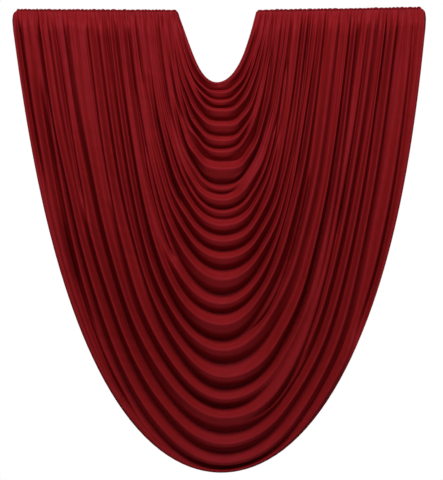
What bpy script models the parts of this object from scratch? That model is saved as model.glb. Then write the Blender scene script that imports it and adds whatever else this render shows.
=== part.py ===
"""Swag curtain panel: one deep gathered drape sewn to two short heading bands.

Units are metres. +Z is up, +X is to the right as seen from the room, and the room is on the -Y side.
The origin lies midway between the two bands, at the height of their top edge and on the wall plane.
"""
from collections import namedtuple

import bmesh
import bpy
import numpy as np

# Driving dimensions
CLOTH_THICKNESS = 0.002
BAND_THICKNESS = 0.003
BAND_HEIGHT = 0.026
TOUCH_GAP = 0.0003
# At the creases between folds the back of the cloth stands out this much further
CREASE_ROOM = 0.0007

# The cloth is sewn on a little below the scalloped top edge of each band
STITCH_DROP = 0.009
# Each top edge climbs slightly from its inner end to its outer end
RISE_LEFT = 0.003
RISE_RIGHT = 0.011
# The side hem rolls over the outer end of each band, with a rounded top corner
HEM_ROLL_WIDTH = 0.030
CORNER_WIDTH = 0.026
CORNER_DROP = 0.042
# Each band stops short of the side hem and of the inner edge
BAND_OUTER_INSET = 0.016
BAND_INNER_INSET = 0.004
BAND_END_WIDTH = 0.008
BAND_END_DROP = 0.005
# Small scallops that the gathers push up along the top edge
SCALLOP_PITCH = 0.019
SCALLOP_HEIGHT = 0.0035
SCALLOP_UNEVEN = 0.35
SCALLOP_BEAT = 0.73
SCALLOP_STEPS = 4

# The folds start as flat gathers and reach their full depth this far below the bands
GATHER_LENGTH = 0.220
GATHER_DEPTH = 0.005
# A fold that has faded out on a side keeps this share of its depth
FADED_SHARE = 0.30
FADE_LENGTH = 0.25
# A fold is never deeper than this share of its width, less the room its own cloth needs
GATHER_PER_WIDTH = 0.35
DEPTH_PER_WIDTH = 1.30
WIDTH_FOR_CLOTH = 0.010
# How far the drape bellies forward below the bands, and where down the drape it is greatest
BELLY = 0.045
BELLY_CENTRE = 0.62
# Shares of the belly that are lost again at the hem and at the side edges
BELLY_HEM_LOSS = 0.4
BELLY_SIDE_LOSS = 0.6
# A fold drifts sideways over this share of each side, counted from its lowest point
LEAN_SHARE = 0.50

# Each side of a fold is this many times as long as its chain constant, which sets how fast it steepens
SIDE_LENGTHS = 5.5
# Where a fold runs level its lower face hangs almost upright over this share of its height,
# goes back by this share of the fold's depth, and then tucks under; where it runs upright it is round
HANG_SHARE = 0.70
HANG_BACK = 0.22
# On the upright sides the front of a fold lies in the middle of its width
UPRIGHT_NOSE = 0.50

# Mesh steps: along each side the rows crowd towards the lowest point
STEPS_ALONG = 28
CROWDING = 2.3
# Share of a fold's upper face where its profile is sampled
UPPER_STEP = 0.48
# Further places across the tucked edge of the last fold, as shares of that edge: even where the fold
# runs level and is narrow, and closer to the hem at the bands, where they follow its rounded corner
HemStep = namedtuple("HemStep", "level upright")
HEM_STEPS = (HemStep(0.25, 0.20), HemStep(0.50, 0.67), HemStep(0.75, 0.90), HemStep(1.0, 1.0))

# One row for each fold line, from the inner edge down to the hem.
# drop: how far the lowest point of the line hangs below the top edge
# left, right: where the line leaves each band, measured from the middle
# low: sideways place of the lowest point
# depth: how far the fold below the line stands forward in the middle
# nose: where the front of that fold lies, as a share of its width
# lean_left, lean_right: outward drift of the fold partway up each side, in fold widths
# keep_left, keep_right: share of each side over which the fold keeps its depth
# bulge_left, bulge_right: how far the line swings out from its hanging chain halfway up each side
FoldLine = namedtuple(
    "FoldLine",
    "drop left right low depth nose lean_left lean_right keep_left keep_right bulge_left bulge_right",
)
FOLD_LINES = (
    FoldLine(0.274, 0.154, 0.139, -0.008, 0.009, 0.35, 0.0, 0.0, 0.60, 0.60, -0.013, -0.004),
    FoldLine(0.302, 0.159, 0.150, -0.004, 0.012, 0.32, 0.2, 0.3, 0.45, 0.60, -0.006, -0.002),
    FoldLine(0.336, 0.163, 0.161, 0.000, 0.018, 0.36, 0.3, 0.3, 0.45, 0.60, 0.000, 0.000),
    FoldLine(0.366, 0.167, 0.172, 0.004, 0.026, 0.38, 0.5, 0.3, 0.50, 0.65, 0.000, 0.000),
    FoldLine(0.414, 0.172, 0.184, 0.008, 0.032, 0.43, 0.6, 0.9, 0.60, 0.60, 0.000, 0.000),
    FoldLine(0.471, 0.178, 0.191, 0.009, 0.028, 0.50, 1.0, 0.6, 0.60, 0.40, 0.000, 0.000),
    FoldLine(0.519, 0.184, 0.199, 0.009, 0.028, 0.43, 1.0, 0.3, 0.55, 0.30, 0.000, 0.000),
    FoldLine(0.564, 0.189, 0.206, 0.011, 0.045, 0.43, 0.4, 0.9, 0.75, 0.50, 0.000, 0.000),
    FoldLine(0.651, 0.202, 0.225, 0.011, 0.018, 0.66, 0.1, 0.5, 0.60, 0.60, 0.000, 0.000),
    FoldLine(0.688, 0.217, 0.240, 0.012, 0.032, 0.50, -0.2, 0.3, 0.35, 0.55, 0.000, 0.000),
    FoldLine(0.744, 0.240, 0.262, 0.012, 0.018, 0.47, -0.1, 0.2, 0.35, 0.80, 0.000, 0.000),
    FoldLine(0.784, 0.259, 0.274, 0.013, 0.034, 0.54, 0.3, 0.2, 0.55, 0.45, 0.000, 0.000),
    FoldLine(0.838, 0.274, 0.285, 0.013, 0.036, 0.55, 0.7, 0.0, 0.65, 0.40, 0.000, 0.000),
    FoldLine(0.898, 0.296, 0.307, 0.015, 0.040, 0.54, 0.5, 0.6, 0.50, 0.50, 0.000, 0.000),
    FoldLine(0.968, 0.319, 0.330, 0.015, 0.050, 0.49, 0.0, 0.4, 0.85, 0.65, 0.000, 0.000),
    FoldLine(1.059, 0.345, 0.352, 0.012, 0.034, 0.62, 0.2, 0.0, 0.60, 0.85, 0.000, 0.000),
    FoldLine(1.131, 0.367, 0.375, 0.010, 0.054, 0.53, -0.1, -0.1, 0.90, 0.90, 0.000, 0.000),
    FoldLine(1.228, 0.397, 0.405, 0.015, 0.048, 0.60, 0.0, 0.0, 0.95, 0.90, 0.000, 0.000),
    FoldLine(1.311, 0.424, 0.442, 0.019, 0.052, 0.69, 0.0, 0.1, 0.90, 0.90, 0.000, 0.000),
    FoldLine(1.403, 0.465, 0.480, 0.022, 0.044, 0.75, 0.0, 0.5, 0.90, 0.95, 0.000, 0.000),
    FoldLine(1.478, 0.514, 0.517, 0.022, 0.052, 0.55, -0.1, -0.1, 0.95, 0.90, 0.000, 0.000),
    FoldLine(1.569, 0.585, 0.581, 0.022, 0.044, 0.72, -0.3, 0.3, 0.95, 0.95, 0.000, 0.000),
    FoldLine(1.643, 0.634, 0.626, 0.019, 0.036, 0.74, -0.3, 0.1, 0.95, 0.95, 0.000, 0.000),
    FoldLine(1.708, 0.682, 0.675, 0.015, 0.012, 0.50, -0.1, 0.0, 0.90, 0.90, 0.005, 0.010),
    FoldLine(1.734, 0.774, 0.775, 0.008, 0.000, 0.50, 0.0, 0.0, 0.90, 0.90, 0.016, 0.033),
)
FOLD_COUNT = len(FOLD_LINES) - 1

# The search for a chain's constant halves this range, given in spans of the chain
LEAST_CONSTANT = 0.05
MOST_CONSTANT = 10000.0
HALVINGS = 60

# Linear colours of the cloth and of the band, which is woven a shade darker
CLOTH_COLOUR = (0.210, 0.009, 0.011, 1.0)
BAND_COLOUR = (0.160, 0.007, 0.009, 1.0)
CLOTH_ROUGHNESS = 0.85


def column(name):
    """Return one named column of the fold table."""
    return np.array([getattr(line, name) for line in FOLD_LINES])


def smooth_step(value):
    """Ease from 0 to 1 as value goes from 0 to 1."""
    held = np.clip(value, 0.0, 1.0)
    return held * held * (3.0 - 2.0 * held)


def corner_fall(inside, width, drop):
    """Fall of a rounded corner at a distance inside the end of an edge."""
    reach = np.clip(1.0 - inside / width, 0.0, 1.0)
    return drop * (1.0 - np.sqrt(1.0 - reach * reach))


def top_edge(across, is_left):
    """Height of the straight top edge at a distance from the middle."""
    side = "left" if is_left else "right"
    inner, outer = FOLD_LINES[0], FOLD_LINES[-1]
    start = getattr(inner, side)
    rise = RISE_LEFT if is_left else RISE_RIGHT
    return rise * (across - start) / (getattr(outer, side) - start)


def sewn_edge(across, is_left):
    """Height at which the cloth is sewn on, with the side hem rolled over the outer end."""
    outer = getattr(FOLD_LINES[-1], "left" if is_left else "right")
    inside = outer - across
    stitch = STITCH_DROP * smooth_step(inside / HEM_ROLL_WIDTH)
    return top_edge(across, is_left) - stitch - corner_fall(inside, CORNER_WIDTH, CORNER_DROP)


def chain_constant(span, sag):
    """Solve for the constant of a hanging chain that spans and sags this far on one side."""
    low = np.log(span * LEAST_CONSTANT)
    high = np.log(span * MOST_CONSTANT)
    for _ in range(HALVINGS):
        middle = 0.5 * (low + high)
        constant = np.exp(middle)
        too_deep = constant * (np.cosh(span / constant) - 1.0) > sag
        low = np.where(too_deep, middle, low)
        high = np.where(too_deep, high, middle)
    return np.exp(high)


def hanging_line(line, along):
    """Place points on hanging chains: line counts the fold lines, along runs -1 to 1, left to right."""
    numbers = np.arange(FOLD_COUNT + 1)
    drop = np.interp(line, numbers, column("drop"))
    low = np.interp(line, numbers, column("low"))
    is_left = along < 0.0
    left = np.interp(line, numbers, column("left"))
    right = np.interp(line, numbers, column("right"))
    span = np.where(is_left, left + low, right - low)
    sewn = np.where(is_left, sewn_edge(left, True), sewn_edge(right, False))
    constant = chain_constant(span, drop + sewn)
    length = constant * np.sinh(span / constant) * np.abs(along)
    sideways = constant * np.arcsinh(length / constant)
    bulge_left = np.interp(line, numbers, column("bulge_left"))
    bulge_right = np.interp(line, numbers, column("bulge_right"))
    sideways += np.where(is_left, bulge_left, bulge_right) * np.sin(np.pi * np.abs(along))
    x = low + np.where(is_left, -sideways, sideways)
    z = -drop + np.hypot(length, constant) - constant
    return x, z


def fold_lean(fold, along):
    """Outward drift of the folds, in fold widths, at each point of the drape."""
    noses = np.arange(FOLD_COUNT) + column("nose")[:FOLD_COUNT]
    places = np.concatenate(([0.0], noses[1:], [FOLD_COUNT]))
    left = np.concatenate(([0.0], column("lean_left")[1:FOLD_COUNT], [0.0]))
    right = np.concatenate(([0.0], column("lean_right")[1:FOLD_COUNT], [0.0]))
    full = np.where(along < 0.0, np.interp(fold, places, left), np.interp(fold, places, right))
    return full * smooth_step(np.abs(along) / LEAN_SHARE)


def levelness(along):
    """How level the folds run: 1 at their lowest point, falling towards 0 up the sides."""
    return 1.0 / np.hypot(1.0, SIDE_LENGTHS * along)


def nose_share(number, along):
    """Place of a fold's front across its width."""
    return UPRIGHT_NOSE + (column("nose")[number] - UPRIGHT_NOSE) * levelness(along)


def fold_profile(number, share, along):
    """Forward stand of a fold, 0 on its lines and 1 at its nose."""
    level = levelness(along)
    nose = nose_share(number, along)
    up = np.clip(share / nose, 0.0, 1.0)
    down = np.clip((share - nose) / (1.0 - nose), 0.0, 1.0)
    hang = 1.0 - HANG_BACK * down / HANG_SHARE
    tuck = (1.0 - HANG_BACK) * (1.0 - down) / (1.0 - HANG_SHARE)
    upper = level * up + (1.0 - level) * np.sin(0.5 * np.pi * up)
    lower = level * np.minimum(hang, tuck) + (1.0 - level) * np.cos(0.5 * np.pi * down)
    return np.where(share < nose, upper, lower)


def fold_width(x, z, fold, along):
    """Width of one fold at each point of the drape, measured square to the fold."""
    count = np.gradient(fold, axis=0)
    x_across = np.gradient(x, axis=0) / count
    z_across = np.gradient(z, axis=0) / count
    x_along = np.gradient(x, along[0], axis=1)
    z_along = np.gradient(z, along[0], axis=1)
    return np.abs(x_across * z_along - z_across * x_along) / np.hypot(x_along, z_along)


def fold_depth(number, fold, along, x, z):
    """Forward depth of the folds at each point of the drape."""
    keep = np.where(along < 0.0, column("keep_left")[number], column("keep_right")[number])
    faded = smooth_step((np.abs(along) - keep + FADE_LENGTH) / FADE_LENGTH)
    open_share = smooth_step(-z / GATHER_LENGTH)
    depth = column("depth")[number] * (1.0 - (1.0 - FADED_SHARE) * faded)
    depth = GATHER_DEPTH + (depth - GATHER_DEPTH) * open_share
    steepness = GATHER_PER_WIDTH + (DEPTH_PER_WIDTH - GATHER_PER_WIDTH) * open_share
    room = np.maximum(fold_width(x, z, fold, along) - WIDTH_FOR_CLOTH, 0.0)
    return np.minimum(depth, steepness * room)


def belly(x, z):
    """Forward swell of the whole drape, nothing at the bands and greatest low in the middle."""
    deepest = FOLD_LINES[-1].drop
    widest = FOLD_LINES[-1].right
    down = np.clip(-z / deepest, 0.0, 1.0)
    rise = smooth_step(down / BELLY_CENTRE)
    settle = 1.0 - BELLY_HEM_LOSS * smooth_step((down - BELLY_CENTRE) / (1.0 - BELLY_CENTRE))
    return BELLY * rise * settle * (1.0 - BELLY_SIDE_LOSS * (x / widest) ** 2)


def drape_points():
    """Work out the middle surface of the drape, from fold to fold and from left band to right band."""
    along = np.sinh(CROWDING * np.linspace(-1.0, 1.0, STEPS_ALONG + 1)) / np.sinh(CROWDING)
    numbers = []
    shares = []
    for number in range(FOLD_COUNT):
        nose = nose_share(number, along)
        places = [0.0 * nose, UPPER_STEP * nose, nose, nose + HANG_SHARE * (1.0 - nose)]
        if number == FOLD_COUNT - 1:
            level = levelness(along)
            edge = [step.level * level + step.upright * (1.0 - level) for step in HEM_STEPS]
            places += [places[-1] + (1.0 - places[-1]) * share for share in edge]
        numbers += [number] * len(places)
        shares += places
    shares = np.array(shares)
    numbers = np.array(numbers)[:, None] + np.zeros(shares.shape, dtype=int)
    fold = numbers + shares
    along = along + np.zeros(shares.shape)
    x, z = hanging_line(fold + fold_lean(fold, along), along)
    forward = fold_depth(numbers, fold, along, x, z) * fold_profile(numbers, shares, along)
    seat = BAND_THICKNESS + TOUCH_GAP + CREASE_ROOM + 0.5 * CLOTH_THICKNESS
    return np.stack([x, -seat - forward - belly(x, z), z], axis=-1)


def band_points(is_left):
    """Work out the middle surface of one heading band, from its lower edge to its scalloped top."""
    side = "left" if is_left else "right"
    inner = getattr(FOLD_LINES[0], side) + BAND_INNER_INSET
    outer = getattr(FOLD_LINES[-1], side) - BAND_OUTER_INSET
    steps = SCALLOP_STEPS * round((outer - inner) / SCALLOP_PITCH)
    across = np.linspace(inner, outer, steps + 1)
    turn = np.pi * (across - inner) / SCALLOP_PITCH
    uneven = 1.0 + SCALLOP_UNEVEN * np.sin(SCALLOP_BEAT * turn)
    top = top_edge(across, is_left) - SCALLOP_HEIGHT * uneven * (1.0 - np.abs(np.sin(turn)))
    top -= corner_fall(across - inner, BAND_END_WIDTH, BAND_END_DROP)
    top -= corner_fall(outer - across, BAND_END_WIDTH, BAND_END_DROP)
    bottom = top_edge(across, is_left) - BAND_HEIGHT
    x = -across if is_left else across
    y = np.full_like(x, -0.5 * BAND_THICKNESS)
    rows = [np.stack([x, y, bottom], axis=-1), np.stack([x, y, top], axis=-1)]
    return np.stack(rows, axis=1)


def sheet_object(name, points, thickness, material, collection):
    """Build a closed sheet of even thickness on a grid of points."""
    rows, columns = points.shape[:2]
    shape = bmesh.new()
    bmesh.ops.create_grid(shape, x_segments=rows - 1, y_segments=columns - 1, size=0.5)
    for vertex in shape.verts:
        row = round((vertex.co.x + 0.5) * (rows - 1))
        place = round((vertex.co.y + 0.5) * (columns - 1))
        vertex.co = points[row, place]
    mesh = bpy.data.meshes.new(name)
    shape.to_mesh(mesh)
    shape.free()
    mesh.shade_smooth()
    mesh.materials.append(material)
    sheet = bpy.data.objects.new(name, mesh)
    collection.objects.link(sheet)
    solidify = sheet.modifiers.new("Thickness", "SOLIDIFY")
    solidify.thickness = thickness
    solidify.offset = 0.0
    solidify.use_even_offset = True
    solidify.use_quality_normals = True
    return sheet


def cloth_material(name, colour):
    """Make a matt pile cloth in one colour."""
    material = bpy.data.materials.new(name)
    material.use_nodes = True
    shader = material.node_tree.nodes["Principled BSDF"]
    shader.inputs["Base Color"].default_value = colour
    shader.inputs["Roughness"].default_value = CLOTH_ROUGHNESS
    shader.inputs["Metallic"].default_value = 0.0
    return material


def clear_scene():
    """Remove whatever objects the scene holds."""
    for item in list(bpy.data.objects):
        bpy.data.objects.remove(item, do_unlink=True)


def build():
    """Build the drape and its two heading bands."""
    clear_scene()
    collection = bpy.data.collections.new("Swag curtain panel")
    bpy.context.scene.collection.children.link(collection)
    drape_cloth = cloth_material("drape_cloth", CLOTH_COLOUR)
    sheet_object("swag_drape", drape_points(), CLOTH_THICKNESS, drape_cloth, collection)
    for name, is_left in (("heading_band_left", True), ("heading_band_right", False)):
        band_cloth = cloth_material(name + "_cloth", BAND_COLOUR)
        sheet_object(name, band_points(is_left), BAND_THICKNESS, band_cloth, collection)


build()
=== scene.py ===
"""Looks of the swag curtain panel: its pile cloth, its gathered headings and a plain studio.

Units are metres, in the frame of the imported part. +Z is up, +X is to the right as seen from the room,
and the room is on the -Y side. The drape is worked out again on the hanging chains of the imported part,
with a finer mesh and softer folds. Up the sides its folds follow tables of their own and are mostly
deeper than the solid's, and it has the gathers and creases that the solid leaves out.
"""
from collections import namedtuple

import bpy
import numpy as np
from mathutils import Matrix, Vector


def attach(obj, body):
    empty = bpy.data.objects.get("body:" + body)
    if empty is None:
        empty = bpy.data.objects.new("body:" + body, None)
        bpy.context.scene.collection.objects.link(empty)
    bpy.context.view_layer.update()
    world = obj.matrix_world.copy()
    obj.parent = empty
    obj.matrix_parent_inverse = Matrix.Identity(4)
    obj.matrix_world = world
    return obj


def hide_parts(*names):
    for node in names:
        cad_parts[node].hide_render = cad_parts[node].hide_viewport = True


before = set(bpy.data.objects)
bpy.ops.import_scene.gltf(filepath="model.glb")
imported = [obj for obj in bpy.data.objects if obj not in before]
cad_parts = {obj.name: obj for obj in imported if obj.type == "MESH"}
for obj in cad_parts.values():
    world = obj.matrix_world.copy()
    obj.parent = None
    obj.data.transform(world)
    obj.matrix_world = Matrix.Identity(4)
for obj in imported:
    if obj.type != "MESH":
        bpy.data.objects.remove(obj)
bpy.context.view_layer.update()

# Photograph: its size in pixels, and the real size of one of its pixels
PHOTO_WIDTH = 443
PHOTO_HEIGHT = 480
PIXEL = 0.00375
# Place in the photograph of the part's origin, in pixels
ORIGIN_ACROSS = 219.0
ORIGIN_DOWN = 9.5

# Thicknesses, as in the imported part
CLOTH_THICKNESS = 0.002
BAND_THICKNESS = 0.003
BAND_HEIGHT = 0.026
TOUCH_GAP = 0.0003
CREASE_ROOM = 0.0007

# Top edge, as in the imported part
STITCH_DROP = 0.009
RISE_LEFT = 0.003
RISE_RIGHT = 0.011
HEM_ROLL_WIDTH = 0.030
CORNER_WIDTH = 0.026
CORNER_DROP = 0.042
BAND_OUTER_INSET = 0.016
BAND_INNER_INSET = 0.004
BAND_END_WIDTH = 0.008
BAND_END_DROP = 0.005

# Puffs of the bands above the sewn line: seed, pitch, how uneven they are, how far the top edge sinks
# between two of them, and how far they stand forward
PUFF_SEED = 5
PUFF_PITCH = 0.0165
PUFF_UNEVEN = 0.40
PUFF_LEAST = 0.55
PUFF_SINK = 0.0045
PUFF_FORWARD = 0.0034
PUFF_START = 0.0035
# Power of the height with which they close towards the top edge
PUFF_CLOSING = 12
# The stitched line: its drop below the top edge, how far it stands forward, and half its width
SEAM_DROP = 0.0058
SEAM_FORWARD = 0.0011
SEAM_HALF_WIDTH = 0.0012
# Mesh of the bands: step across, and rows from the lower edge to the top
BAND_STEP = 0.0015
BAND_ROWS = 20

# Swell of the whole drape, how fast its folds steepen, and the front of an upright fold, as in the
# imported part
BELLY = 0.045
BELLY_CENTRE = 0.62
BELLY_HEM_LOSS = 0.4
BELLY_SIDE_LOSS = 0.6
SIDE_LENGTHS = 5.5
UPRIGHT_NOSE = 0.50

# Depth of the upright folds, which follows from their width alone and not from the fold table, as it does
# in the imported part: the share of the width at the bands, the share that it grows to, how far below the
# top edge it has grown, and the most that the depth may be
GATHER_PER_WIDTH = 0.35
SIDE_PER_WIDTH = 1.5
GATHER_LENGTH = 0.100
SIDE_DEPTH = 0.060

# Shape of the folds, which isn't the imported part's
# Where a fold runs level its lower face hangs over this share of its height before it tucks under
HANG_SHARE = 0.86
# A hollow that is cut all the way goes back behind the belly by this share of it
HOLLOW_PER_BELLY = 0.14
# and no trough goes back behind it by more than this share
MOST_HOLLOW_PER_BELLY = 0.60
# The lower face of a fold that runs level leans back by this much for each unit of its height
HANG_SLOPE = 0.40
# but by no more than this share of its depth
MOST_BACK = 0.40
# Powers that shape the upper face of a level fold and the flanks of an upright one
UPPER_POWER = 1.6
UPRIGHT_POWER = 1.3

# Spread of the blur that evens the widths from which the depths of the folds follow, in rows
WIDTH_EVENING = 8.0

# Fine mesh: least number of rows in a fold, about how far apart the rows are in the middle and at the
# headings, number of columns, and how even these are
LEAST_ROWS = 14
ROW_STEP = 0.0044
HEADING_STEP = 0.0026
COLUMNS = 107
COLUMN_EVENNESS = 0.30
# Spread of the blurs that round the noses and the hollows of the folds and the gathers, in rows
NOSE_ROUNDING = 0.6
HOLLOW_ROUNDING = 1.5
GATHER_ROUNDING = 0.5
# How far a blur reaches each way, in spreads
BLUR_REACH = 3.0

# Gathers: small troughs that start at the sewn edge and die out on the way down. Their seed, pitch and
# unevenness in pitches, and the least and most of their depth, half width and run
GATHER_SEED = 12
GATHER_PITCH = 0.0140
GATHER_JITTER = 0.38
GATHER_TROUGH = (0.0050, 0.0140)
GATHER_HALF_WIDTH = (0.0032, 0.0054)
GATHER_RUN = (0.12, 0.85)
# Power that keeps most of the runs short
GATHER_RUN_POWER = 2
# The cloth puffs forward just below the sewn edge
PUFF = 0.0045
PUFF_RUN = 0.007
# The folds start there with this share of their depth, and have all of it after this run
LEAST_FOLD = 0.30
FOLD_RUN = 0.060
# The turned edges: a soft roll along the very edge, and the pressed line of stitches behind it
EDGE_ROLL = 0.0028
EDGE_ROLL_PLACE = 0.0050
EDGE_ROLL_WIDTH = 0.0040
EDGE_LINE = 0.0026
EDGE_LINE_PLACE = 0.0150
EDGE_LINE_WIDTH = 0.0045

# One row for each fold line, from the inner edge down to the hem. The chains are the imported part's, but
# most noses and the depths of the first four lines and the last but one are not.
# drop: how far the lowest point of the line hangs below the top edge
# left, right: where the line leaves each band, measured from the middle
# low: sideways place of the lowest point
# depth: how far the fold below the line stands forward in the middle
# nose: where the front of that fold lies, as a share of its width
# bulge_left, bulge_right: how far the line swings out from its hanging chain halfway up each side
FoldLine = namedtuple("FoldLine", "drop left right low depth nose bulge_left bulge_right")
FOLD_LINES = (
    FoldLine(0.274, 0.154, 0.139, -0.008, 0.017, 0.12, -0.013, -0.004),
    FoldLine(0.302, 0.159, 0.150, -0.004, 0.021, 0.28, -0.006, -0.002),
    FoldLine(0.336, 0.163, 0.161, 0.000, 0.026, 0.36, 0.000, 0.000),
    FoldLine(0.366, 0.167, 0.172, 0.004, 0.034, 0.26, 0.000, 0.000),
    FoldLine(0.414, 0.172, 0.184, 0.008, 0.032, 0.35, 0.000, 0.000),
    FoldLine(0.471, 0.178, 0.191, 0.009, 0.028, 0.42, 0.000, 0.000),
    FoldLine(0.519, 0.184, 0.199, 0.009, 0.028, 0.33, 0.000, 0.000),
    FoldLine(0.564, 0.189, 0.206, 0.011, 0.045, 0.37, 0.000, 0.000),
    FoldLine(0.651, 0.202, 0.225, 0.011, 0.018, 0.60, 0.000, 0.000),
    FoldLine(0.688, 0.217, 0.240, 0.012, 0.032, 0.47, 0.000, 0.000),
    FoldLine(0.744, 0.240, 0.262, 0.012, 0.018, 0.41, 0.000, 0.000),
    FoldLine(0.784, 0.259, 0.274, 0.013, 0.034, 0.45, 0.000, 0.000),
    FoldLine(0.838, 0.274, 0.285, 0.013, 0.036, 0.48, 0.000, 0.000),
    FoldLine(0.898, 0.296, 0.307, 0.015, 0.040, 0.46, 0.000, 0.000),
    FoldLine(0.968, 0.319, 0.330, 0.015, 0.050, 0.46, 0.000, 0.000),
    FoldLine(1.059, 0.345, 0.352, 0.012, 0.034, 0.58, 0.000, 0.000),
    FoldLine(1.131, 0.367, 0.375, 0.010, 0.054, 0.48, 0.000, 0.000),
    FoldLine(1.228, 0.397, 0.405, 0.015, 0.048, 0.55, 0.000, 0.000),
    FoldLine(1.311, 0.424, 0.442, 0.019, 0.052, 0.68, 0.000, 0.000),
    FoldLine(1.403, 0.465, 0.480, 0.022, 0.044, 0.71, 0.000, 0.000),
    FoldLine(1.478, 0.514, 0.517, 0.022, 0.052, 0.53, 0.000, 0.000),
    FoldLine(1.569, 0.585, 0.581, 0.022, 0.044, 0.74, 0.000, 0.000),
    FoldLine(1.643, 0.634, 0.626, 0.019, 0.036, 0.78, 0.000, 0.000),
    FoldLine(1.708, 0.682, 0.675, 0.015, 0.022, 0.75, 0.005, 0.010),
    FoldLine(1.734, 0.774, 0.775, 0.008, 0.000, 0.50, 0.016, 0.033),
)
FOLD_COUNT = len(FOLD_LINES) - 1

# How each fold line wanders up one side of the drape, at four stations.
# shift: outward from its plain chain, in fold widths
# cut: how far the hollow on the line goes down, as a share of the fold's depth
STATIONS = (0.15, 0.35, 0.60, 0.85)
SidePath = namedtuple(
    "SidePath", "shift_low shift_mid shift_high shift_top cut_low cut_mid cut_high cut_top"
)
LEFT_PATHS = (
    SidePath(0.00, 0.00, 0.00, 0.00, 0.60, 0.40, 0.30, 0.30),
    SidePath(0.20, 0.50, 0.60, 0.70, 1.00, 0.80, 0.35, 0.15),
    SidePath(0.00, 0.35, 0.50, 0.60, 1.00, 0.75, 0.25, 0.10),
    SidePath(0.15, 0.15, 0.15, 0.30, 1.00, 0.20, 0.10, 0.10),
    SidePath(0.20, 0.45, 1.05, 1.15, 1.00, 1.00, 0.50, 0.10),
    SidePath(0.20, 0.55, 1.25, 1.25, 1.00, 1.00, 0.60, 0.10),
    SidePath(0.30, 0.95, 1.30, 1.30, 1.00, 1.00, 0.20, 0.10),
    SidePath(0.25, 0.70, 1.25, 1.45, 0.95, 0.35, 1.00, 0.20),
    SidePath(0.15, 0.70, 0.90, 1.00, 1.00, 1.00, 0.10, 0.10),
    SidePath(0.35, 0.70, 1.00, 1.05, 0.60, 0.10, 0.60, 0.25),
    SidePath(0.10, 0.30, 0.55, 0.60, 0.60, 0.15, 0.45, 0.15),
    SidePath(0.05, 0.20, 0.55, 0.60, 1.00, 1.00, 0.35, 0.10),
    SidePath(0.10, 0.60, 0.72, 0.60, 1.00, 1.00, 0.95, 0.20),
    SidePath(0.10, 0.42, 0.64, 0.90, 0.95, 0.65, 0.35, 0.25),
    SidePath(-0.05, 0.20, 0.30, 0.30, 1.00, 0.50, 0.10, 0.10),
    SidePath(-0.05, -0.05, 0.00, 0.20, 0.90, 0.90, 0.20, 0.10),
    SidePath(0.10, 0.10, 0.10, 0.10, 0.90, 0.35, 0.05, 0.05),
    SidePath(0.00, 0.10, 0.02, 0.07, 1.00, 1.00, 0.95, 0.70),
    SidePath(-0.05, 0.22, 0.22, 0.23, 0.90, 0.85, 0.85, 0.65),
    SidePath(-0.25, -0.17, 0.04, 0.02, 0.90, 0.65, 0.80, 0.60),
    SidePath(-0.15, 0.17, 0.20, 0.15, 0.90, 0.80, 0.50, 0.30),
    SidePath(-0.15, -0.12, 0.03, 0.25, 0.90, 1.00, 0.95, 0.60),
    SidePath(-0.25, -0.15, 0.18, 0.45, 0.85, 0.85, 0.80, 0.40),
    SidePath(-0.13, -0.12, -0.10, 0.13, 0.70, 0.80, 1.00, 0.65),
    SidePath(0.00, 0.00, 0.00, 0.00, 0.50, 0.22, 0.12, 0.10),
)
RIGHT_PATHS = (
    SidePath(0.00, 0.00, 0.00, 0.00, 0.60, 0.40, 0.30, 0.30),
    SidePath(0.25, 0.55, 0.60, 0.75, 0.95, 0.95, 0.75, 0.25),
    SidePath(0.27, 0.47, 0.55, 0.90, 1.00, 0.95, 0.25, 0.15),
    SidePath(0.30, 0.36, 0.46, 0.85, 1.00, 0.95, 0.95, 0.15),
    SidePath(0.30, 0.72, 0.84, 0.90, 1.00, 1.00, 0.85, 0.15),
    SidePath(0.38, 0.81, 0.90, 1.00, 1.00, 0.70, 0.10, 0.10),
    SidePath(0.30, 0.36, 0.36, 0.45, 0.90, 0.05, 0.05, 0.10),
    SidePath(0.35, 0.58, 0.55, 0.20, 1.00, 1.00, 0.95, 0.20),
    SidePath(0.25, 0.81, 1.35, 1.30, 1.00, 1.00, 0.60, 0.25),
    SidePath(0.10, 0.45, 0.65, 0.75, 0.10, 0.30, 0.65, 0.30),
    SidePath(0.20, 0.59, 0.75, 0.85, 0.95, 0.65, 0.05, 0.10),
    SidePath(0.33, 0.65, 0.69, 0.20, 1.00, 1.00, 1.00, 0.20),
    SidePath(0.31, 0.50, 0.50, 0.50, 1.00, 0.70, 0.05, 0.10),
    SidePath(0.29, 0.70, 0.50, 0.50, 1.00, 1.00, 0.60, 0.55),
    SidePath(0.15, 0.54, 0.90, 0.60, 1.00, 0.70, 0.50, 0.65),
    SidePath(-0.04, 0.25, 0.15, 0.30, 0.95, 0.50, 0.10, 0.30),
    SidePath(-0.05, -0.20, -0.02, 0.15, 0.90, 0.70, 1.00, 0.50),
    SidePath(-0.25, -0.03, 0.12, 0.05, 0.90, 0.90, 0.80, 0.55),
    SidePath(0.17, 0.50, 0.78, 0.80, 0.90, 0.60, 0.60, 0.45),
    SidePath(0.20, 0.52, 0.63, 0.64, 0.90, 1.00, 1.00, 0.75),
    SidePath(0.15, 0.40, 0.40, 0.30, 0.20, 0.15, 0.35, 0.75),
    SidePath(0.21, 0.52, 0.59, 0.74, 0.85, 0.85, 0.75, 0.60),
    SidePath(0.10, 0.47, 0.38, 0.25, 0.70, 0.70, 0.72, 0.90),
    SidePath(0.20, 0.37, 0.17, 0.20, 0.50, 0.65, 0.75, 0.65),
    SidePath(0.00, 0.00, 0.00, 0.00, 0.50, 0.22, 0.12, 0.10),
)

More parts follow.
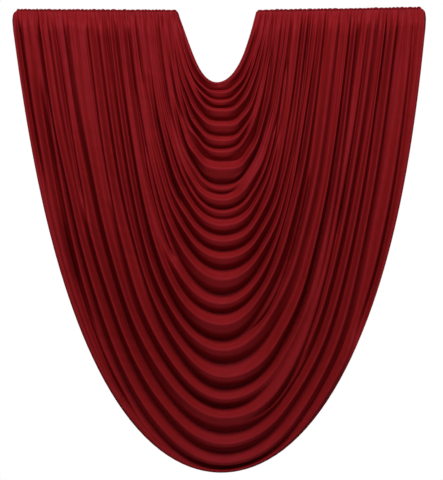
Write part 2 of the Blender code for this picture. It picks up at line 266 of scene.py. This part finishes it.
# Creases and wide hollows that lie between or across the fold lines.
# start, end: where the crease runs, along the folds, negative on the left
# start_line, end_line: the fold line coordinate of each end
# trough, half_width: its depth, negative for a ridge, and half its width
Crease = namedtuple("Crease", "start end start_line end_line trough half_width")
CREASES = (
    Crease(-0.18, -0.64, 12.50, 12.78, 0.020, 0.010),
    Crease(-0.16, -0.58, 15.14, 15.18, -0.028, 0.007),
    Crease(-0.16, -1.00, 15.52, 15.34, 0.036, 0.010),
    Crease(-0.50, -1.02, 19.84, 19.82, 0.020, 0.006),
    Crease(-0.54, -1.03, 21.72, 21.80, 0.050, 0.009),
    Crease(-0.34, -0.84, 23.12, 23.03, -0.036, 0.009),
    Crease(-0.05, -0.36, 23.60, 23.50, 0.010, 0.006),
    Crease(-0.16, -0.62, 23.50, 23.43, 0.036, 0.011),
    Crease(-0.42, -0.90, 23.44, 23.36, 0.044, 0.012),
    Crease(-0.64, -1.06, 23.80, 23.84, 0.030, 0.009),
    Crease(0.62, 0.95, 8.05, 8.05, 0.006, 0.006),
    Crease(0.20, 0.82, 7.60, 7.48, 0.016, 0.007),
    Crease(0.42, 0.80, 11.72, 11.50, 0.034, 0.010),
    Crease(0.55, 0.84, 13.65, 13.75, 0.012, 0.008),
    Crease(0.44, 0.86, 15.98, 16.04, 0.020, 0.009),
    Crease(0.04, 0.60, 17.22, 17.46, 0.040, 0.009),
    Crease(0.04, 0.62, 20.92, 20.74, 0.030, 0.009),
    Crease(0.48, 1.03, 20.74, 20.84, 0.044, 0.009),
    Crease(0.32, 1.04, 23.84, 23.60, 0.036, 0.009),
    Crease(0.18, 0.46, 19.78, 19.72, 0.006, 0.004),
    Crease(0.30, 0.62, 20.12, 20.02, 0.008, 0.004),
    Crease(0.34, 0.68, 20.44, 20.32, 0.008, 0.004),
)
# Distance over which each end of a crease fades, in the same measure as its start and end
CREASE_FADE = 0.10

# The search for a chain's constant halves this range, given in spans of the chain
LEAST_CONSTANT = 0.05
MOST_CONSTANT = 10000.0
HALVINGS = 50

# Camera: its distance from the wall plane, and the width of its sensor in millimetres
CAMERA_DISTANCE = 16.0
SENSOR = 36.0

# Studio: an even glow, and one large soft light in front of the drape and above it
GLOW_STRENGTH = 0.135
KEY_WIDTH = 1.2
KEY_HEIGHT = 2.8
KEY_POWER = 230.0
KEY_PLACE = (0.0, -3.5, 2.7)
KEY_TARGET = (0.0, 0.0, -0.8)

WHITE = (1.0, 1.0, 1.0, 1.0)

# Floor, well below the hem
FLOOR_SIDES = 96
FLOOR_RADIUS = 1.6
FLOOR_HEIGHT = -2.6
FLOOR_COLOUR = (0.85, 0.85, 0.84)
FLOOR_ROUGHNESS = 0.9

# Colours, linear
CLOTH_RED = (0.238, 0.0084, 0.0094)
CLOTH_DEEP_RED = (0.204, 0.0070, 0.0070)
BAND_RED = (0.205, 0.0070, 0.0070)
BAND_DEEP_RED = (0.165, 0.0055, 0.0055)

# Scales of the cloth's patches, streaks and pile, in features a metre, how the streaks are drawn out,
# their share of the mix, and the detail of each
PATCH_SCALE = 22.0
STREAK_SCALE = 260.0
STREAK_STRETCH = (1.0, 0.06, 1.0)
STREAK_SHARE = 0.40
PILE_SCALE = 1100.0
PATCH_DETAIL = 3.0
STREAK_DETAIL = 2.0
PILE_DETAIL = 2.0
# Values of the mixed noise at which the cloth is fully deep and fully bright
DEEP_AT = 0.35
BRIGHT_AT = 0.62
# Relief and gloss of the pile
BUMP_STRENGTH = 0.30
BUMP_HEIGHT = 0.0007
PILE_ROUGHNESS = 0.65
PILE_SPECULAR = 0.12
PILE_TINT = (1.0, 0.50, 1.0, 1.0)


def column(name):
    """Return one named column of the fold table."""
    return np.array([getattr(line, name) for line in FOLD_LINES])


def smooth_step(value):
    """Ease from 0 to 1 as value goes from 0 to 1."""
    held = np.clip(value, 0.0, 1.0)
    return held * held * (3.0 - 2.0 * held)


def corner_fall(inside, width, drop):
    """Fall of a rounded corner at a distance inside the end of an edge."""
    reach = np.clip(1.0 - inside / width, 0.0, 1.0)
    return drop * (1.0 - np.sqrt(1.0 - reach * reach))


def top_edge(across, is_left):
    """Height of the straight top edge at a distance from the middle."""
    side = "left" if is_left else "right"
    inner, outer = FOLD_LINES[0], FOLD_LINES[-1]
    start = getattr(inner, side)
    rise = RISE_LEFT if is_left else RISE_RIGHT
    return rise * (across - start) / (getattr(outer, side) - start)


def sewn_edge(across, is_left):
    """Height at which the cloth is sewn on, with the side hem rolled over the outer end."""
    outer = getattr(FOLD_LINES[-1], "left" if is_left else "right")
    inside = outer - across
    stitch = STITCH_DROP * smooth_step(inside / HEM_ROLL_WIDTH)
    return top_edge(across, is_left) - stitch - corner_fall(inside, CORNER_WIDTH, CORNER_DROP)


def chain_constant(span, sag):
    """Solve for the constant of a hanging chain that spans and sags this far on one side."""
    low = np.log(span * LEAST_CONSTANT)
    high = np.log(span * MOST_CONSTANT)
    for _ in range(HALVINGS):
        middle = 0.5 * (low + high)
        constant = np.exp(middle)
        too_deep = constant * (np.cosh(span / constant) - 1.0) > sag
        low = np.where(too_deep, middle, low)
        high = np.where(too_deep, high, middle)
    return np.exp(high)


def hanging_line(line, along):
    """Place points on hanging chains, and give the length of each chain's side."""
    numbers = np.arange(FOLD_COUNT + 1)
    drop = np.interp(line, numbers, column("drop"))
    low = np.interp(line, numbers, column("low"))
    is_left = along < 0.0
    left = np.interp(line, numbers, column("left"))
    right = np.interp(line, numbers, column("right"))
    span = np.where(is_left, left + low, right - low)
    sewn = np.where(is_left, sewn_edge(left, True), sewn_edge(right, False))
    constant = chain_constant(span, drop + sewn)
    side_length = constant * np.sinh(span / constant)
    length = side_length * np.abs(along)
    sideways = constant * np.arcsinh(length / constant)
    bulge_left = np.interp(line, numbers, column("bulge_left"))
    bulge_right = np.interp(line, numbers, column("bulge_right"))
    sideways += np.where(is_left, bulge_left, bulge_right) * np.sin(np.pi * np.abs(along))
    x = low + np.where(is_left, -sideways, sideways)
    z = -drop + np.hypot(length, constant) - constant
    return x, z, side_length


def side_values(measure, middle, along):
    """Values of one measure on every fold line at each column, eased between the stations."""
    reach = np.concatenate(([0.0], STATIONS, [1.0]))
    result = np.zeros((FOLD_COUNT + 1, len(along)))
    for paths, is_side in ((LEFT_PATHS, along < 0.0), (RIGHT_PATHS, along >= 0.0)):
        rows = [[getattr(path, f"{measure}_{place}") for place in ("low", "mid", "high", "top")]
                for path in paths]
        for line, row in enumerate(rows):
            knots = np.array([middle, *row, row[-1]])
            here = np.abs(along)
            span = np.clip(np.searchsorted(reach, here, side="right") - 1, 0, len(reach) - 2)
            share = smooth_step((here - reach[span]) / (reach[span + 1] - reach[span]))
            eased = knots[span] + (knots[span + 1] - knots[span]) * share
            result[line] = np.where(is_side, eased, result[line])
    return result


def between_lines(values, place):
    """Spread values on the fold lines over the points between them."""
    line = np.minimum(np.floor(place).astype(int), FOLD_COUNT - 1)
    share = place - line
    before = np.take_along_axis(values, line, axis=0)
    after = np.take_along_axis(values, line + 1, axis=0)
    return before * (1.0 - share) + after * share


def levelness(along):
    """How level the folds run: 1 at their lowest point, falling towards 0 up the sides."""
    return 1.0 / np.hypot(1.0, SIDE_LENGTHS * along)


def nose_share(number, along):
    """Place of a fold's front across its width."""
    return UPRIGHT_NOSE + (column("nose")[number] - UPRIGHT_NOSE) * levelness(along)


def fold_profile(share, nose, along, back):
    """Forward stand of a fold, 0 on its lines and 1 at its nose; back is what its lower face loses."""
    level = levelness(along) ** 2
    up = np.clip(share / nose, 0.0, 1.0)
    down = np.clip((share - nose) / (1.0 - nose), 0.0, 1.0)
    hang = 1.0 - back * down / HANG_SHARE
    tuck = (1.0 - back) * (1.0 - down) / (1.0 - HANG_SHARE)
    level_profile = np.where(share < nose, up ** UPPER_POWER, np.minimum(hang, tuck))
    reach = np.where(share < nose, up, 1.0 - down)
    upright_profile = 0.5 - 0.5 * np.cos(np.pi * reach ** UPRIGHT_POWER)
    return level * level_profile + (1.0 - level) * upright_profile


def fold_width(x, z, fold, along):
    """Width of one fold at each point of the drape, measured square to the fold."""
    count = np.gradient(fold, axis=0)
    steps = np.gradient(along[0])[None, :]
    x_across = np.gradient(x, axis=0) / count
    z_across = np.gradient(z, axis=0) / count
    x_along = np.gradient(x, axis=1) / steps
    z_along = np.gradient(z, axis=1) / steps
    return np.abs(x_across * z_along - z_across * x_along) / np.hypot(x_along, z_along)


def fold_depth(number, along, z, width):
    """Forward depth of the folds at each point of the drape."""
    level = levelness(along) ** 2
    open_share = smooth_step(-z / GATHER_LENGTH)
    per_width = GATHER_PER_WIDTH + (SIDE_PER_WIDTH - GATHER_PER_WIDTH) * open_share
    upright = np.minimum(width * per_width, SIDE_DEPTH)
    return level * column("depth")[number] + (1.0 - level) * upright


def creases(fold, along, width):
    """Depth of the listed creases and hollows."""
    total = np.zeros(fold.shape)
    for crease in CREASES:
        length = abs(crease.end - crease.start)
        share = (along - crease.start) / (crease.end - crease.start)
        centre = crease.start_line + (crease.end_line - crease.start_line) * np.clip(share, 0.0, 1.0)
        fade = smooth_step(share * length / CREASE_FADE)
        fade *= smooth_step((1.0 - share) * length / CREASE_FADE)
        distance = (fold - centre) * width / crease.half_width
        total += crease.trough * fade * np.exp(-distance * distance)
    return total


def belly(x, z):
    """Forward swell of the whole drape, nothing at the bands and greatest low in the middle."""
    deepest = FOLD_LINES[-1].drop
    widest = FOLD_LINES[-1].right
    down = np.clip(-z / deepest, 0.0, 1.0)
    rise = smooth_step(down / BELLY_CENTRE)
    settle = 1.0 - BELLY_HEM_LOSS * smooth_step((down - BELLY_CENTRE) / (1.0 - BELLY_CENTRE))
    return BELLY * rise * settle * (1.0 - BELLY_SIDE_LOSS * (x / widest) ** 2)


def blurred(values, spread):
    """Blur an array down its rows."""
    reach = int(np.ceil(BLUR_REACH * spread))
    offsets = np.arange(-reach, reach + 1)
    weights = np.exp(-0.5 * (offsets / spread) ** 2)
    weights /= weights.sum()
    padded = np.pad(values, ((reach, reach), (0, 0)), mode="edge")
    rows = len(values)
    return sum(weight * padded[start:start + rows] for start, weight in enumerate(weights))


def drape_rows():
    """Place of each row: the number of its fold, plus how far it lies through the fold's faces."""
    rows = []
    for number in range(FOLD_COUNT):
        line, following = FOLD_LINES[number], FOLD_LINES[number + 1]
        widest = max(
            following.drop - line.drop, following.left - line.left, following.right - line.right
        )
        gathered = max(following.left - line.left, following.right - line.right)
        steps = max(LEAST_ROWS, round(widest / ROW_STEP), round(gathered / HEADING_STEP))
        rows.append(number + np.arange(steps) / steps)
    rows.append([float(FOLD_COUNT)])
    return np.concatenate(rows)


def drape_columns():
    """Place of each column along the folds, closer together in the middle and at the headings."""
    even = np.linspace(-1.0, 1.0, COLUMNS)
    reach = np.abs(even)
    return np.sign(even) * (COLUMN_EVENNESS * reach + (1.0 - COLUMN_EVENNESS) * smooth_step(reach))


def gathers(fold, along, width, below):
    """Depth of the small troughs below the two sewn edges, uneven in place, depth and length."""
    random = np.random.default_rng(GATHER_SEED)
    numbers = np.arange(FOLD_COUNT + 1)
    total = np.zeros(fold.shape)
    for side, is_side in (("left", along < 0.0), ("right", along >= 0.0)):
        places = column(side)
        count = round((places[-1] - places[0]) / GATHER_PITCH)
        for index in range(count):
            shift = GATHER_JITTER * random.uniform(-1.0, 1.0)
            across = places[0] + (index + 0.5 + shift) * GATHER_PITCH
            centre = np.interp(across, places, numbers)
            trough = random.uniform(*GATHER_TROUGH)
            half_width = random.uniform(*GATHER_HALF_WIDTH)
            long_share = random.uniform() ** GATHER_RUN_POWER
            run = GATHER_RUN[0] + (GATHER_RUN[1] - GATHER_RUN[0]) * long_share
            distance = (fold - centre) * width / half_width
            fade = 1.0 - smooth_step(below / run)
            total += np.where(is_side, trough * fade * np.exp(-distance * distance), 0.0)
    return total


def edge_turn(fold, width):
    """Forward stand of the soft roll along the inner edge and the hem, less the line behind the hem."""
    in_from_hem = np.abs(FOLD_COUNT - fold) * width
    inside = np.minimum(np.abs(fold) * width, in_from_hem)
    roll = EDGE_ROLL * np.exp(-(((inside - EDGE_ROLL_PLACE) / EDGE_ROLL_WIDTH) ** 2))
    line = EDGE_LINE * np.exp(-(((in_from_hem - EDGE_LINE_PLACE) / EDGE_LINE_WIDTH) ** 2))
    return roll - line


def rounded(folds, half):
    """Round the folds by a blur down their rows, wider in the hollows than on the noses."""
    hollowness = smooth_step(2.0 * np.abs(half - 1.0) - 1.0)
    noses = blurred(folds, NOSE_ROUNDING)
    hollows = blurred(folds, HOLLOW_ROUNDING)
    return noses * (1.0 - hollowness) + hollows * hollowness


def drape_points():
    """Work out the middle surface of the drape as a fine grid of points."""
    rows, columns = drape_rows(), drape_columns()
    row, along = np.meshgrid(rows, columns, indexing="ij")
    number = np.minimum(np.floor(row).astype(int), FOLD_COUNT - 1)
    nose = nose_share(number, along)
    half = 2.0 * (row - number)
    share = np.where(half < 1.0, nose * half, nose + (1.0 - nose) * (half - 1.0))
    place = number + share
    fold = place + between_lines(side_values("shift", 0.0, columns), place)
    x, z, side_length = hanging_line(fold, along)
    width = fold_width(x, z, place, along)
    below = side_length * (1.0 - np.abs(along))
    depth = fold_depth(number, along, z, blurred(width, WIDTH_EVENING))
    swell = belly(x, z)
    full_depth = depth + HOLLOW_PER_BELLY * swell
    back = HANG_SLOPE * HANG_SHARE * (1.0 - nose) * width / full_depth
    cuts = side_values("cut", 1.0, columns)
    line = np.where(half < 1.0, number, number + 1)
    cut = np.take_along_axis(cuts, line, axis=0)
    profile = fold_profile(share, nose, along, np.minimum(back, MOST_BACK))
    folds = rounded(depth - full_depth * cut * (1.0 - profile), half)
    sewn = 1.0 - np.exp(-below / PUFF_RUN)
    grown = sewn * (LEAST_FOLD + (1.0 - LEAST_FOLD) * smooth_step(below / FOLD_RUN))
    folds = (folds - creases(fold, along, width)) * grown
    # Gathers keep to the shifted fold lines, so their widths are counted in those
    line_width = fold_width(x, z, fold, along)
    troughs = blurred(gathers(fold, along, line_width, below), GATHER_ROUNDING)
    forward = folds + (PUFF - troughs) * sewn + edge_turn(fold, width)
    forward = np.maximum(forward, -MOST_HOLLOW_PER_BELLY * swell)
    seat = BAND_THICKNESS + TOUCH_GAP + CREASE_ROOM + 0.5 * CLOTH_THICKNESS
    return np.stack([x, -seat - forward - swell, z], axis=-1)


def puff_fullness(across, random):
    """Fullness of a band's puffs: greatest in the middle of each, nothing between two."""
    places = [across[0]]
    while places[-1] < across[-1]:
        places.append(places[-1] + PUFF_PITCH * (1.0 + PUFF_UNEVEN * random.uniform(-1.0, 1.0)))
    places = np.array(places)
    size = random.uniform(PUFF_LEAST, 1.0, len(places))
    puff = np.clip(np.searchsorted(places, across, side="right") - 1, 0, len(places) - 2)
    share = (across - places[puff]) / (places[puff + 1] - places[puff])
    return size[puff] * np.sqrt(np.abs(np.sin(np.pi * share)))


def band_points(is_left, random):
    """Work out the middle surface of one heading band: flat behind the drape, puffed above it."""
    side = "left" if is_left else "right"
    inner = getattr(FOLD_LINES[0], side) + BAND_INNER_INSET
    outer = getattr(FOLD_LINES[-1], side) - BAND_OUTER_INSET
    across = np.linspace(inner, outer, round((outer - inner) / BAND_STEP))
    fullness = puff_fullness(across, random)
    ends = corner_fall(across - inner, BAND_END_WIDTH, BAND_END_DROP)
    ends += corner_fall(outer - across, BAND_END_WIDTH, BAND_END_DROP)
    bottom = top_edge(across, is_left) - BAND_HEIGHT
    top = top_edge(across, is_left) - ends - PUFF_SINK * (1.0 - fullness)
    height = np.linspace(0.0, 1.0, BAND_ROWS)[:, None]
    z = bottom + (top - bottom) * height
    below = top_edge(across, is_left) - z
    puffed = smooth_step((STITCH_DROP - below) / PUFF_START) * (1.0 - height ** PUFF_CLOSING)
    seam = np.exp(-(((below - SEAM_DROP) / SEAM_HALF_WIDTH) ** 2))
    forward = PUFF_FORWARD * puffed * fullness + SEAM_FORWARD * seam
    x = np.broadcast_to(-across if is_left else across, z.shape)
    return np.stack([x, -0.5 * BAND_THICKNESS - forward, z], axis=-1)


def lengths_along(points, axis):
    """Distance travelled over a grid of points along one of its axes."""
    steps = np.linalg.norm(np.diff(points, axis=axis), axis=-1)
    first = np.zeros_like(np.take(steps, [0], axis=axis))
    return np.concatenate((first, np.cumsum(steps, axis=axis)), axis=axis)


def keep_rim_sharp(mesh):
    """Mark the outer edges of an open sheet as sharp, so that shading doesn't darken its outline."""
    sides = np.zeros(len(mesh.edges), dtype=int)
    loops = np.zeros(len(mesh.loops), dtype=int)
    mesh.loops.foreach_get("edge_index", loops)
    np.add.at(sides, loops, 1)
    sharp = mesh.attributes.new("sharp_edge", "BOOLEAN", "EDGE")
    sharp.data.foreach_set("value", sides == 1)


def grid_object(name, points, thickness, material):
    """Build a closed sheet of even thickness on a grid of points, with a map of its cloth."""
    rows, columns = points.shape[:2]
    corner = np.arange(rows * columns).reshape(rows, columns)
    faces = np.stack(
        [corner[:-1, :-1], corner[:-1, 1:], corner[1:, 1:], corner[1:, :-1]], axis=-1
    ).reshape(-1, 4)
    mesh = bpy.data.meshes.new(name)
    mesh.from_pydata(points.reshape(-1, 3).tolist(), [], faces.tolist())
    cloth = np.stack([lengths_along(points, 0), lengths_along(points, 1)], axis=-1).reshape(-1, 2)
    layer = mesh.uv_layers.new(name="cloth")
    layer.data.foreach_set("uv", cloth[faces.reshape(-1)].astype(np.float32).reshape(-1))
    mesh.materials.append(material)
    mesh.shade_smooth()
    keep_rim_sharp(mesh)
    sheet = bpy.data.objects.new(name, mesh)
    bpy.context.scene.collection.objects.link(sheet)
    solidify = sheet.modifiers.new("Thickness", "SOLIDIFY")
    solidify.thickness = thickness
    solidify.offset = 0.0
    return sheet


def noise(tree, vector, scale, detail):
    """Add a noise texture to a material and return its value."""
    texture = tree.nodes.new("ShaderNodeTexNoise")
    texture.inputs["Scale"].default_value = scale
    texture.inputs["Detail"].default_value = detail
    tree.links.new(vector, texture.inputs["Vector"])
    return texture.outputs["Fac"]


def cloth_material(name, bright, deep):
    """Make a short pile cloth: matt, with patches and streaks where the pile lies differently."""
    material = bpy.data.materials.new(name)
    material.use_nodes = True
    tree = material.node_tree
    shader = tree.nodes["Principled BSDF"]
    cloth = tree.nodes.new("ShaderNodeUVMap")
    cloth.uv_map = "cloth"
    patches = noise(tree, cloth.outputs["UV"], PATCH_SCALE, PATCH_DETAIL)
    stretch = tree.nodes.new("ShaderNodeMapping")
    stretch.inputs["Scale"].default_value = STREAK_STRETCH
    tree.links.new(cloth.outputs["UV"], stretch.inputs["Vector"])
    streaks = noise(tree, stretch.outputs["Vector"], STREAK_SCALE, STREAK_DETAIL)
    mix = tree.nodes.new("ShaderNodeMix")
    mix.inputs["Factor"].default_value = STREAK_SHARE
    tree.links.new(patches, mix.inputs["A"])
    tree.links.new(streaks, mix.inputs["B"])
    ramp = tree.nodes.new("ShaderNodeValToRGB")
    ramp.color_ramp.elements[0].color = (*deep, 1.0)
    ramp.color_ramp.elements[1].color = (*bright, 1.0)
    ramp.color_ramp.elements[0].position = DEEP_AT
    ramp.color_ramp.elements[1].position = BRIGHT_AT
    tree.links.new(mix.outputs["Result"], ramp.inputs["Fac"])
    tree.links.new(ramp.outputs["Color"], shader.inputs["Base Color"])
    pile = noise(tree, cloth.outputs["UV"], PILE_SCALE, PILE_DETAIL)
    bump = tree.nodes.new("ShaderNodeBump")
    bump.inputs["Strength"].default_value = BUMP_STRENGTH
    bump.inputs["Distance"].default_value = BUMP_HEIGHT
    tree.links.new(pile, bump.inputs["Height"])
    tree.links.new(bump.outputs["Normal"], shader.inputs["Normal"])
    shader.inputs["Roughness"].default_value = PILE_ROUGHNESS
    shader.inputs["Specular IOR Level"].default_value = PILE_SPECULAR
    shader.inputs["Specular Tint"].default_value = PILE_TINT
    return material


def plain_material(name, colour):
    """Make the pale matt material of the floor."""
    material = bpy.data.materials.new(name)
    material.use_nodes = True
    shader = material.node_tree.nodes["Principled BSDF"]
    shader.inputs["Base Color"].default_value = (*colour, 1.0)
    shader.inputs["Roughness"].default_value = FLOOR_ROUGHNESS
    return material


def make_drape():
    """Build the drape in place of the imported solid."""
    cloth = cloth_material("drape_pile", CLOTH_RED, CLOTH_DEEP_RED)
    drape = grid_object("drape", drape_points(), CLOTH_THICKNESS, cloth)
    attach(drape, "root")
    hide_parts("swag_drape")


def make_bands():
    """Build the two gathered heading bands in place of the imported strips."""
    random = np.random.default_rng(PUFF_SEED)
    cloth = cloth_material("band_pile", BAND_RED, BAND_DEEP_RED)
    for name, is_left in (("heading_band_left", True), ("heading_band_right", False)):
        points = band_points(is_left, random)
        band = grid_object(name.replace("heading", "gathered"), points, BAND_THICKNESS, cloth)
        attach(band, "root")
        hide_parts(name)


def make_studio():
    """Light the drape softly from the front and above, over a plain pale floor."""
    scene = bpy.context.scene
    scene.view_settings.view_transform = "Standard"
    world = bpy.data.worlds.new("Studio")
    scene.world = world
    world.use_nodes = True
    tree = world.node_tree
    background = tree.nodes["Background"]
    background.inputs["Color"].default_value = WHITE
    background.inputs["Strength"].default_value = GLOW_STRENGTH
    seen = tree.nodes.new("ShaderNodeBackground")
    seen.inputs["Color"].default_value = WHITE
    mix = tree.nodes.new("ShaderNodeMixShader")
    path = tree.nodes.new("ShaderNodeLightPath")
    tree.links.new(path.outputs["Is Camera Ray"], mix.inputs["Fac"])
    tree.links.new(background.outputs["Background"], mix.inputs[1])
    tree.links.new(seen.outputs["Background"], mix.inputs[2])
    tree.links.new(mix.outputs["Shader"], tree.nodes["World Output"].inputs["Surface"])
    light_data = bpy.data.lights.new("Key", "AREA")
    light_data.shape = "RECTANGLE"
    light_data.size = KEY_WIDTH
    light_data.size_y = KEY_HEIGHT
    light_data.energy = KEY_POWER
    light = bpy.data.objects.new("Key", light_data)
    light.location = KEY_PLACE
    light.rotation_euler = (Vector(KEY_TARGET) - light.location).to_track_quat("-Z", "Y").to_euler()
    scene.collection.objects.link(light)


def make_floor():
    """Lay a plain pale floor well below the hem."""
    bpy.ops.mesh.primitive_circle_add(
        vertices=FLOOR_SIDES, radius=FLOOR_RADIUS, fill_type="NGON", location=(0.0, 0.0, FLOOR_HEIGHT)
    )
    floor = bpy.context.object
    floor.name = "floor"
    floor.data.materials.append(plain_material("pale_floor", FLOOR_COLOUR))


def make_camera():
    """Look straight at the drape, in the photograph's frame."""
    data = bpy.data.cameras.new("Camera")
    data.sensor_width = SENSOR
    data.lens = SENSOR * CAMERA_DISTANCE / (PHOTO_HEIGHT * PIXEL)
    camera = bpy.data.objects.new("Camera", data)
    x = (0.5 * PHOTO_WIDTH - ORIGIN_ACROSS) * PIXEL
    z = (ORIGIN_DOWN - 0.5 * PHOTO_HEIGHT) * PIXEL
    camera.location = (x, -CAMERA_DISTANCE, z)
    camera.rotation_euler = (0.5 * np.pi, 0.0, 0.0)
    bpy.context.scene.collection.objects.link(camera)
    bpy.context.scene.camera = camera


make_drape()
make_bands()
make_studio()
make_floor()
make_camera()
